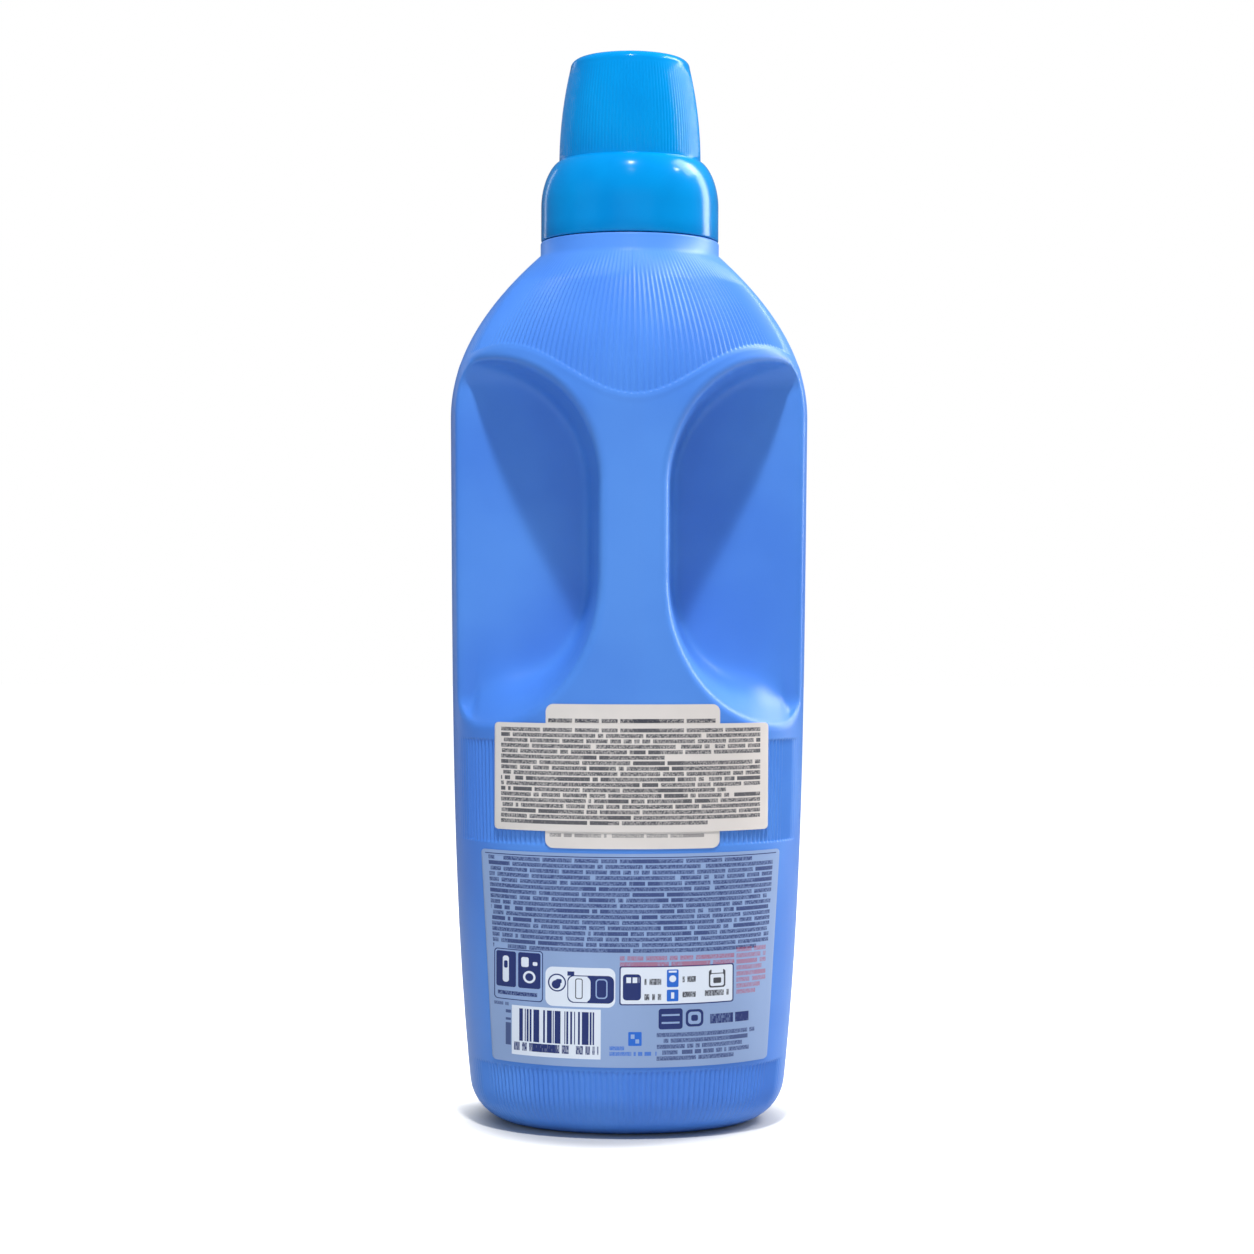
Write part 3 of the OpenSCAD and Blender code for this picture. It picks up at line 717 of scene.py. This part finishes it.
class Print(Finish):
    """A printed sheet: x and v are millimetres from its middle and above its lower edge, from its own UV map."""

    def __init__(self, name, ground, **constants):
        super().__init__(name, **constants)
        spot = self.node("ShaderNodeUVMap", {"uv_map": "print"})
        mm_per_unit = 1000 / UV_PER_M
        self.x = mm_per_unit * self.node("ShaderNodeSeparateXYZ", None, {0: spot}, 0)
        self.v = mm_per_unit * self.node("ShaderNodeSeparateXYZ", None, {0: spot}, 1)
        self.colour = ground
        self.seed = 0.0

    def box(self, x0, x1, v0, v1):
        """1 inside a rectangle."""
        across = (self.x - (x0 + x1) / 2).absolute() < (x1 - x0) / 2
        upright = (self.v - (v0 + v1) / 2).absolute() < (v1 - v0) / 2
        return across * upright

    def rounded(self, x0, x1, v0, v1, r):
        """1 inside a rectangle with round corners of radius r."""
        out_x = ((self.x - (x0 + x1) / 2).absolute() - ((x1 - x0) / 2 - r)).maths("MAXIMUM", 0.0)
        out_v = ((self.v - (v0 + v1) / 2).absolute() - ((v1 - v0) / 2 - r)).maths("MAXIMUM", 0.0)
        return out_x * out_x + out_v * out_v < r * r

    def disc(self, x, v, r):
        """1 inside a circle."""
        out_x, out_v = self.x - x, self.v - v
        return out_x * out_x + out_v * out_v < r * r

    def scatter(self, *parts):
        """White noise over whole numbers."""
        vector = self.node("ShaderNodeCombineXYZ", None, dict(enumerate(parts)))
        return self.node("ShaderNodeTexWhiteNoise", {"noise_dimensions": "3D"}, {"Vector": vector}, "Value")

    def lines(self, left, right, first, pitch, count, cell=0.85, tall=0.72, gap=0.08, short=()):
        """Rows of greeked writing, from their first row's middle down. Cells of white noise leave out the gaps
        between words, and finer cells give uneven strokes. Each of short shortens one row to its own end."""
        self.seed += 11.0
        t = (first + pitch / 2 - self.v) / pitch
        row = t.floor()
        up = t - row - 0.5
        word = self.scatter((self.x / cell + row * 0.37).floor(), row, self.seed)
        stroke = self.scatter((self.x / (cell * 0.37)).floor(), row, (up * 4).floor() + self.seed)
        bold = self.scatter((self.x / 8).floor(), row, self.seed + 5.0) > 0.86
        inside = (self.x > left) * (self.x < right) * (row > -0.5) * (row < count - 0.5)
        for number, end in short:
            inside = inside * (1 - row.maths("COMPARE", number, 0.5) * (self.x > end))
        ink = (up.absolute() < tall / 2) * (word > gap) * (0.5 + 0.6 * stroke + 0.35 * bold)
        return inside * ink.maths("MINIMUM", 1.0)

    def bars(self, x0, x1, v0, v1):
        """Upright bars of uneven width."""
        wide = self.scatter((self.x / 0.62).floor(), 3.0, 0.0) > 0.52
        thin = self.scatter((self.x / 0.31).floor(), 5.0, 0.0) > 0.6
        return self.box(x0, x1, v0, v1) * wide.maths("MAXIMUM", thin)

    def paint(self, mask, ink):
        self.colour = self.blend(mask, self.colour, ink)


def film_print(colours):
    """Pale printed film: greeked rows, boxed fields and bars, with soft ripples where it was smoothed on."""
    f = Print("label_film", colours.film, ior=1.45, specular_ior_level=0.35)
    cloud = f.noise(f.object, 26.0, 3.0)
    f.colour = f.blend(cloud.step(0.3, 0.72), colours.film, [v * 0.9 for v in colours.film])
    wide = f.x.absolute() < 46.4 - (66.4 - f.v) * 0.057  # the rows narrow downwards with the label
    f.paint(f.box(-47.5, 47.5, 67.45, 67.75), colours.navy)
    body = f.lines(-46.6, 46.6, 66.4, 1.79, 17, short=((0, 39.0), (7, 44.2), (16, 40.6)))
    f.paint(body * wide * 0.86, colours.navy)
    f.paint(f.box(-44.4, -41.5, 65.6, 67.0) + f.box(-44.4, -40, 37.0, 38.6), colours.film)
    # Two dark squares in an outlined box, with one row under them
    f.paint(f.rounded(-44.4, -28.6, 20.3, 36.9, 1.2), colours.navy)
    f.paint(f.rounded(-44.1, -28.9, 20.6, 36.6, 1.0), colours.film)
    f.paint(f.rounded(-43.7, -37.3, 24.5, 36.1, 0.7) + f.rounded(-36.6, -29.4, 24.5, 36.1, 0.7), colours.navy)
    f.paint(f.rounded(-41.6, -39.6, 26.0, 34.6, 0.9) + f.disc(-33.0, 28.2, 2.0), colours.white)
    f.paint(f.disc(-33.0, 28.2, 1.3) + f.rounded(-41.2, -40.0, 30.6, 33.0, 0.5), colours.navy)
    f.paint(f.rounded(-35.6, -33.2, 31.4, 34.6, 0.6) + f.rounded(-31.9, -30.4, 32.0, 33.2, 0.4), colours.white)
    f.paint(f.lines(-43.2, -30.4, 22.5, 1.8, 1, 0.7), colours.navy)
    f.paint(f.lines(-44.4, -39.6, 18.9, 1.5, 1, 0.6) * 0.7, colours.navy)
    # White panel: a ring, and a split field with a pale upright shape on one half and a dark one on the other
    f.paint(f.rounded(-27.8, -5.5, 19.4, 32.1, 2.4), colours.white)
    f.paint(f.disc(-24.1, 27.0, 2.9), colours.navy)
    f.paint(f.disc(-24.1, 27.0, 2.45), colours.white)
    f.paint(f.disc(-24.4, 26.4, 1.4) + f.rounded(-24.4, -22.6, 26.8, 28.2, 0.4), colours.navy)
    f.paint(f.box(-20.8, -18.6, 29.4, 30.8), colours.navy)
    f.paint(f.rounded(-20.8, -5.9, 20.7, 29.6, 2.0), colours.navy)
    f.paint(f.rounded(-20.5, -13.4, 21.0, 29.3, 2.0) + f.box(-16, -14.4, 21.0, 29.3), colours.white)
    f.paint(f.rounded(-18.3, -15.9, 22.0, 28.6, 0.7), colours.grey)
    f.paint(f.rounded(-18.0, -16.2, 22.3, 28.3, 0.5), colours.white)
    f.paint(f.rounded(-11.8, -8.0, 22.2, 28.6, 1.2), colours.film)
    f.paint(f.rounded(-11.4, -8.4, 22.6, 28.2, 0.9), colours.navy)
    # Outlined box with a dark tub, blue blocks, short dashes and a basin
    f.paint(f.rounded(-4.2, 33.0, 20.2, 32.8, 0.8), colours.navy)
    f.paint(f.rounded(-3.8, 32.6, 20.6, 32.4, 0.6), colours.white)
    f.paint(f.rounded(-3.1, 2.7, 21.8, 30.2, 1.2), colours.navy)
    f.paint(f.box(-2.5, 2.1, 27.4, 29.2) * (f.scatter((f.x / 0.5).floor(), 2.0, 2.0) > 0.4), colours.white)
    upper, lower = f.lines(3.8, 9.2, 27.7, 2.2, 1, 0.9, 0.9, 0.2), f.lines(3.8, 9.2, 22.8, 2.2, 1, 0.9, 0.9, 0.2)
    f.paint(upper + lower, colours.grey)
    f.paint(f.rounded(11.0, 14.8, 25.9, 31.6, 0.5) + f.rounded(11.0, 14.8, 21.3, 25.1, 0.4), colours.blue)
    f.paint(f.disc(12.9, 28.6, 1.1) + f.box(12.4, 13.4, 22.2, 24.2) + f.box(11.6, 14.2, 30.6, 31.2), colours.white)
    upper, lower = f.lines(16.1, 20.4, 28.3, 2.2, 1, 0.8, 0.85, 0.2), f.lines(16.1, 20.4, 23.4, 2, 1, 0.8, 0.9, 0.2)
    f.paint(upper + lower, colours.grey)
    f.paint(f.rounded(24.7, 30.2, 25.2, 31.0, 0.8), colours.grey)
    f.paint(f.rounded(25.2, 29.7, 25.7, 29.6, 0.6) + f.box(25.6, 29.4, 29.9, 31.2), colours.white)
    f.paint(f.rounded(26.2, 28.8, 26.6, 28.4, 0.4), colours.grey)
    f.paint(f.lines(23.4, 31.4, 23.5, 2.2, 1, 0.9, 0.85, 0.2), colours.grey)
    # Red rows over it and in a column beside it
    f.paint(f.lines(-4.1, 33.2, 35.3, 1.9, 2) * 0.62, colours.red)
    f.paint(f.lines(33.9, 44.0, 37.0, 1.96, 8, short=((3, 42.6), (6, 42.0), (7, 40.4))) * 0.55, colours.red)
    # Bar field
    f.paint(f.box(-38.6, -10.1, 2.6, 18.7), colours.white)
    f.paint(f.bars(-36.2, -12.2, 7.2, 17.8), colours.navy)
    f.paint(f.lines(-37.9, -10.8, 5.4, 3.4, 1, 0.75, 0.8, 0.24), colours.navy)
    # Bold blocks where the contents would be stated, and the small rows round them
    f.paint(f.rounded(8.4, 16.2, 12.3, 19, 0.9), colours.navy)
    f.paint(f.box(9.4, 15.2, 14.1, 14.7) + f.box(9.4, 15.2, 16.6, 17.2), [v * 0.95 for v in colours.film])
    f.paint(f.rounded(17.2, 23.0, 12.9, 18.5, 1.6), colours.navy)
    f.paint(f.rounded(18.0, 22.2, 13.7, 17.7, 1.1), [v * 0.95 for v in colours.film])
    f.paint(f.rounded(19.0, 21.2, 14.7, 16.7, 0.6), colours.navy)
    f.paint(f.lines(25.2, 38.2, 15.1, 3.4, 1, 0.7, 0.92, 0.2), colours.navy)
    small = f.lines(7.8, 40.3, 10.5, 1.9, 5, 0.7, short=((2, 36.0), (4, 33.2)))
    f.paint(small * ((f.x - 24).absolute() < 20 - (f.scatter((f.v / 1.9).floor(), 4.0, 4.0) * 7)) * 0.8, colours.navy)
    f.paint(f.rounded(-1.3, 3.0, 7.1, 11.6, 0.3), colours.blue)
    f.paint(f.box(-0.5, 0.7, 9.4, 10.8) + f.box(1.0, 2.2, 7.9, 9.2), colours.film)
    f.paint(f.lines(-7.3, 7.8, 6.3, 1.8, 2, 0.7, short=((0, -2.6),)) * 0.8, colours.blue)
    f.paint(f.bars(-40.6, -38.9, 5.5, 17) * (f.scatter((f.v / 0.8).floor(), 9.0, 0.0) > 0.3) * 0.8, colours.navy)
    f.feed("Base Color", f.colour)
    ripple = f.noise(f.stretch(f.object, (1, 1, 0.45)), 75.0, 3.0, 0.55)
    f.feed("Roughness", 0.3 + 0.12 * f.noise(f.object, 500.0, 2.0))
    f.bump(ripple, 0.0004, 0.35)
    return f.material


def paper_print(name, colours, wide):
    """Printed paper: rows of greeked writing on a warm white with a fine tooth and faint clouds."""
    f = Print(name, colours.paper, ior=1.45, specular_ior_level=0.2)
    cloud = f.noise(f.object, 40.0, 3.0)
    f.colour = f.blend(cloud.step(0.3, 0.72), colours.paper, [v * 0.93 for v in colours.paper])
    if wide:
        f.paint(f.lines(-42.3, 41.6, 32.5, 1.741, 18, short=((5, 10), (11, 30), (17, 24))) * 0.92, colours.grey)
    else:
        f.paint(f.lines(-27.2, 26.5, 40.9, 1.8, 1), colours.grey)
        f.paint(f.lines(-26.6, 22.9, 4.2, 1.6, 1) * 0.6, colours.grey)
    f.feed("Base Color", f.colour)
    tooth = f.noise(f.object, 1800.0, 3.0, 0.6)
    f.feed("Roughness", 0.52 + 0.14 * tooth)
    f.bump(f.noise(f.object, 60.0, 2.0) * 2.0 + tooth * 0.12, 0.0003, 0.25)
    return f.material


class SOFTENER_OT_body(bpy.types.Operator):
    """Build the body with its ribs and the thread of its neck"""

    bl_idname = "softener.body"
    bl_label = "Body"

    def execute(self, context):
        scene = context.scene
        skin = Skin(scene.softener_body, scene.softener_ribs)
        material = body_plastic(scene.softener_colours)
        dress(build_bottle(skin), material, "bottle", "bottle_plastic", "bottle")
        low = skin.collar_top_z + 4 * MM
        thread = helix("neck_thread", skin.s.neck_r, low, PITCH, turns=1.9, height=1.1 * MM, width=2.4 * MM)
        dress(thread, material, "bottle", "bottle_plastic")
        return {"FINISHED"}


class SOFTENER_OT_spout(bpy.types.Operator):
    """Give the pouring spout its finish"""

    bl_idname = "softener.spout"
    bl_label = "Spout"

    def execute(self, context):
        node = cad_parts["pour_spout"]
        node.data.materials.clear()
        node.data.materials.append(spout_plastic(context.scene.softener_colours))
        return {"FINISHED"}


class SOFTENER_OT_cap(bpy.types.Operator):
    """Build the dosing cap with its ribs and its inner thread"""

    bl_idname = "softener.cap"
    bl_label = "Cap"

    def execute(self, context):
        scene = context.scene
        skin = Skin(scene.softener_body, scene.softener_ribs)
        material = cap_plastic(scene.softener_colours)
        c = scene.softener_cap
        dress(build_cap(c, skin), material, "cap", "cap_plastic", "dosing_cap")
        inner_r = skin.s.collar_r - 0.5 * c.gap - c.skirt_wall
        low = skin.collar_top_z + c.gap + 3 * MM
        thread = helix("cap_thread", inner_r, low, PITCH, turns=1.5, height=1.05 * MM, width=2.2 * MM, inward=True)
        dress(thread, material, "cap", "cap_plastic")
        return {"FINISHED"}


class SOFTENER_OT_labels(bpy.types.Operator):
    """Build the back label and the two stickers"""

    bl_idname = "softener.labels"
    bl_label = "Labels"

    def execute(self, context):
        scene = context.scene
        skin = Skin(scene.softener_body, scene.softener_ribs)
        colours, c = scene.softener_colours, scene.softener_labels
        t = c.thick
        top_z = c.low_z + c.height
        label = sheet("back_label_film", skin, c.low_z, top_z, c.foot_w, c.top_w, c.corner, c.gap, t)
        dress(label, film_print(colours), "bottle", "label_film", "back_label")
        top_z = c.under_z + c.under_h
        under = sheet("narrow_sticker", skin, c.under_z, top_z, c.under_w, c.under_w, c.under_corner, c.gap, t)
        dress(under, paper_print("narrow_paper", colours, False), "bottle", "sticker_paper", "sticker_under")
        top_z = c.over_z + c.over_h
        over = sheet("wide_sticker", skin, c.over_z, top_z, c.over_w, c.over_w, c.corner, 2 * c.gap + t, t)
        dress(over, paper_print("wide_paper", colours, True), "bottle", "sticker_paper", "sticker_over")
        return {"FINISHED"}


# The photograph's frame is 1254 pixels wide; the camera was fitted to the bottle's outline in it.
PHOTO = 1254
FOCAL_PX = 2800
MM_PER_PX = 0.33596
AXIS_PX = 628.6
EYE_PX = 619.0
FOOT_PX = 1117.6
TURN_DEG = -2.0
ROLL_DEG = -0.17
COOL = (0.74, 0.9, 1.0)
WHITE = (1.0, 1.0, 1.0)
BLACK = (0.0, 0.0, 0.0)
FLOOR = (0.58, 0.57, 0.56, 1)
DIM_SKY = (0.14, 0.18, 0.25, 1)
# Lamps: name, place, point aimed at, size, watts, colour and whether gloss mirrors them
LAMPS = (
    ("key", (0.0, -0.53, 1.33), (0, 0, 0.2), (0.1, 0.08), 13.5, WHITE, False),
    ("side", (1.0, 0.46, 0.65), (0, 0, 0.25), (0.28, 1.1), 10, WHITE, True),
    ("top", (0.85, 0.2, 1.1), (0, 0, 0.26), (0.45, 0.45), 7, WHITE, True),
    ("rim", (-0.75, 1.0, 0.45), (0, 0, 0.2), (0.12, 0.9), 0.7, WHITE, True),
    ("fill", (-1.2, -0.7, 0.5), (0, 0, 0.15), (0.8, 1.0), 3.2, COOL, False),
    ("front", (0.1, -1.6, 0.3), (0, 0, 0.12), (1.4, 1.0), 5.0, COOL, False),
    ("spark_one", (0.0, -0.53, 1.33), (0, 0, 0.3), (0.04, 0.03), 3.0, WHITE, True),
    ("spark_two", (0.88, -0.17, 1.13), (0, 0, 0.3), (0.025, 0.025), 1.2, WHITE, True),
    ("spark_three", (0.0, -0.82, 1.21), (0, 0, 0.3), (0.015, 0.015), 0.4, WHITE, True),
)


class SOFTENER_OT_studio(bpy.types.Operator):
    """Set the camera, the floor and the lights"""

    bl_idname = "softener.studio"
    bl_label = "Studio"

    def execute(self, context):
        scene = context.scene
        distance = FOCAL_PX * MM_PER_PX * MM
        turn = math.radians(TURN_DEG)
        eye_z = (FOOT_PX - EYE_PX) * MM_PER_PX * MM
        camera = bpy.data.cameras.new("camera")
        camera.sensor_width = 36
        camera.lens = FOCAL_PX / PHOTO * camera.sensor_width
        holder = bpy.data.objects.new("camera", camera)
        scene.collection.objects.link(holder)
        holder.location = (distance * math.sin(turn), -distance * math.cos(turn), eye_z)
        aside = math.atan((AXIS_PX - PHOTO / 2) / FOCAL_PX)
        tilt = math.atan((PHOTO / 2 - EYE_PX) / FOCAL_PX)
        holder.rotation_euler = (RIGHT_ANGLE - tilt, math.radians(ROLL_DEG), turn + aside)
        scene.camera = holder
        self.floor()
        self.lamps(scene)
        scene.view_settings.view_transform = "Standard"
        return {"FINISHED"}

    def floor(self):
        """A white floor just under the bottle. To the camera it also gives off white light, but this fades out in an
        oval round the foot, which paints a grey shade there; the real shadow shows in it too."""
        side, below = 6.0, 0.2 * MM
        points = np.array([(-side, -side, 0), (side, -side, 0), (side, side, 0), (-side, side, 0)], float)
        made = mesh_object("floor", points - (0, 0, below), np.array([[0, 1, 2, 3]]))
        f = Finish("floor_white_painted_foot_shade", roughness=0.8, specular_ior_level=0.0)
        f.shader.inputs["Base Color"].default_value = FLOOR
        # Painted shade: the white emission drops to black within an oval round the foot, so the floor there shows
        # only its lit diffuse and looks grey, shadowed or not.
        shadow_x, shadow_y = 42 * MM, 45 * MM
        foot = f.stretch(f.object, (1 / shadow_x, 1 / shadow_y, 1))
        out = f.node("ShaderNodeVectorMath", {"operation": "LENGTH"}, {0: foot}, "Value")
        glow_with_painted_foot_shade = f.blend(out.step(1.0, 1.65), BLACK, WHITE)
        seen = f.node("ShaderNodeEmission", None, {"Color": glow_with_painted_foot_shade, "Strength": 1.0})
        plain = Wire(f, f.shader.outputs[0])
        both = f.node("ShaderNodeAddShader", None, {0: plain, 1: seen})
        rays = f.node("ShaderNodeLightPath", None, None, "Is Camera Ray")
        mixed = f.node("ShaderNodeMixShader", None, {0: rays, 1: plain, 2: both})
        f.tree.links.new(mixed.socket, f.tree.nodes["Material Output"].inputs["Surface"])
        made.data.materials.append(f.material)

    def lamps(self, scene):
        """A world that is white to the camera and dim blue to the rest, and the area lamps."""
        world = bpy.data.worlds.new("studio")
        scene.world = world
        world.use_nodes = True
        tree = world.node_tree
        back = tree.nodes["Background"]
        rays = tree.nodes.new("ShaderNodeLightPath")
        shade = tree.nodes.new("ShaderNodeMix")
        shade.data_type = "RGBA"
        shade.inputs[6].default_value = DIM_SKY
        shade.inputs[7].default_value = (*WHITE, 1)
        tree.links.new(rays.outputs["Is Camera Ray"], shade.inputs[0])
        tree.links.new(shade.outputs[2], back.inputs["Color"])
        for name, spot, aim, size, power, colour, mirrored in LAMPS:
            lamp = bpy.data.lights.new(name, "AREA")
            lamp.shape = "RECTANGLE"
            lamp.size, lamp.size_y = size
            lamp.energy = power
            lamp.color = colour
            holder = bpy.data.objects.new(name, lamp)
            scene.collection.objects.link(holder)
            holder.location = spot
            holder.visible_glossy = mirrored
            away = np.array(spot) - np.array(aim)
            holder.rotation_euler = (
                math.atan2(math.hypot(away[0], away[1]), away[2]),
                0,
                math.atan2(away[1], away[0]) + RIGHT_ANGLE,
            )


class SOFTENER_PT_panel(bpy.types.Panel):
    """Lists the steps that build the bottle"""

    bl_idname = "SOFTENER_PT_panel"
    bl_label = "Softener Bottle"
    bl_space_type = "VIEW_3D"
    bl_region_type = "UI"
    bl_category = "Softener Bottle"

    def draw(self, context):
        for operator in OPERATORS:
            self.layout.operator(operator.bl_idname)
        for group in GROUPS:
            box = self.layout.box()
            box.label(text=group.__name__)
            for prop in group.__annotations__:
                box.prop(getattr(context.scene, GROUPS[group]), prop)


GROUPS = {
    BodySizes: "softener_body",
    RibSizes: "softener_ribs",
    CapSizes: "softener_cap",
    LabelSizes: "softener_labels",
    Colours: "softener_colours",
}
OPERATORS = (SOFTENER_OT_body, SOFTENER_OT_spout, SOFTENER_OT_cap, SOFTENER_OT_labels, SOFTENER_OT_studio)


def register():
    for group, name in GROUPS.items():
        bpy.utils.register_class(group)
        setattr(bpy.types.Scene, name, bpy.props.PointerProperty(type=group))
    for made in (*OPERATORS, SOFTENER_PT_panel):
        bpy.utils.register_class(made)


def unregister():
    for made in reversed((*OPERATORS, SOFTENER_PT_panel)):
        bpy.utils.unregister_class(made)
    for group, name in GROUPS.items():
        delattr(bpy.types.Scene, name)
        bpy.utils.unregister_class(group)


def main():
    register()
    for operator in OPERATORS:
        area, step = operator.bl_idname.split(".")
        if getattr(getattr(bpy.ops, area), step)() != {"FINISHED"}:
            raise RuntimeError(f"{operator.bl_label} did not finish")


if __name__ == "__main__":
    main()
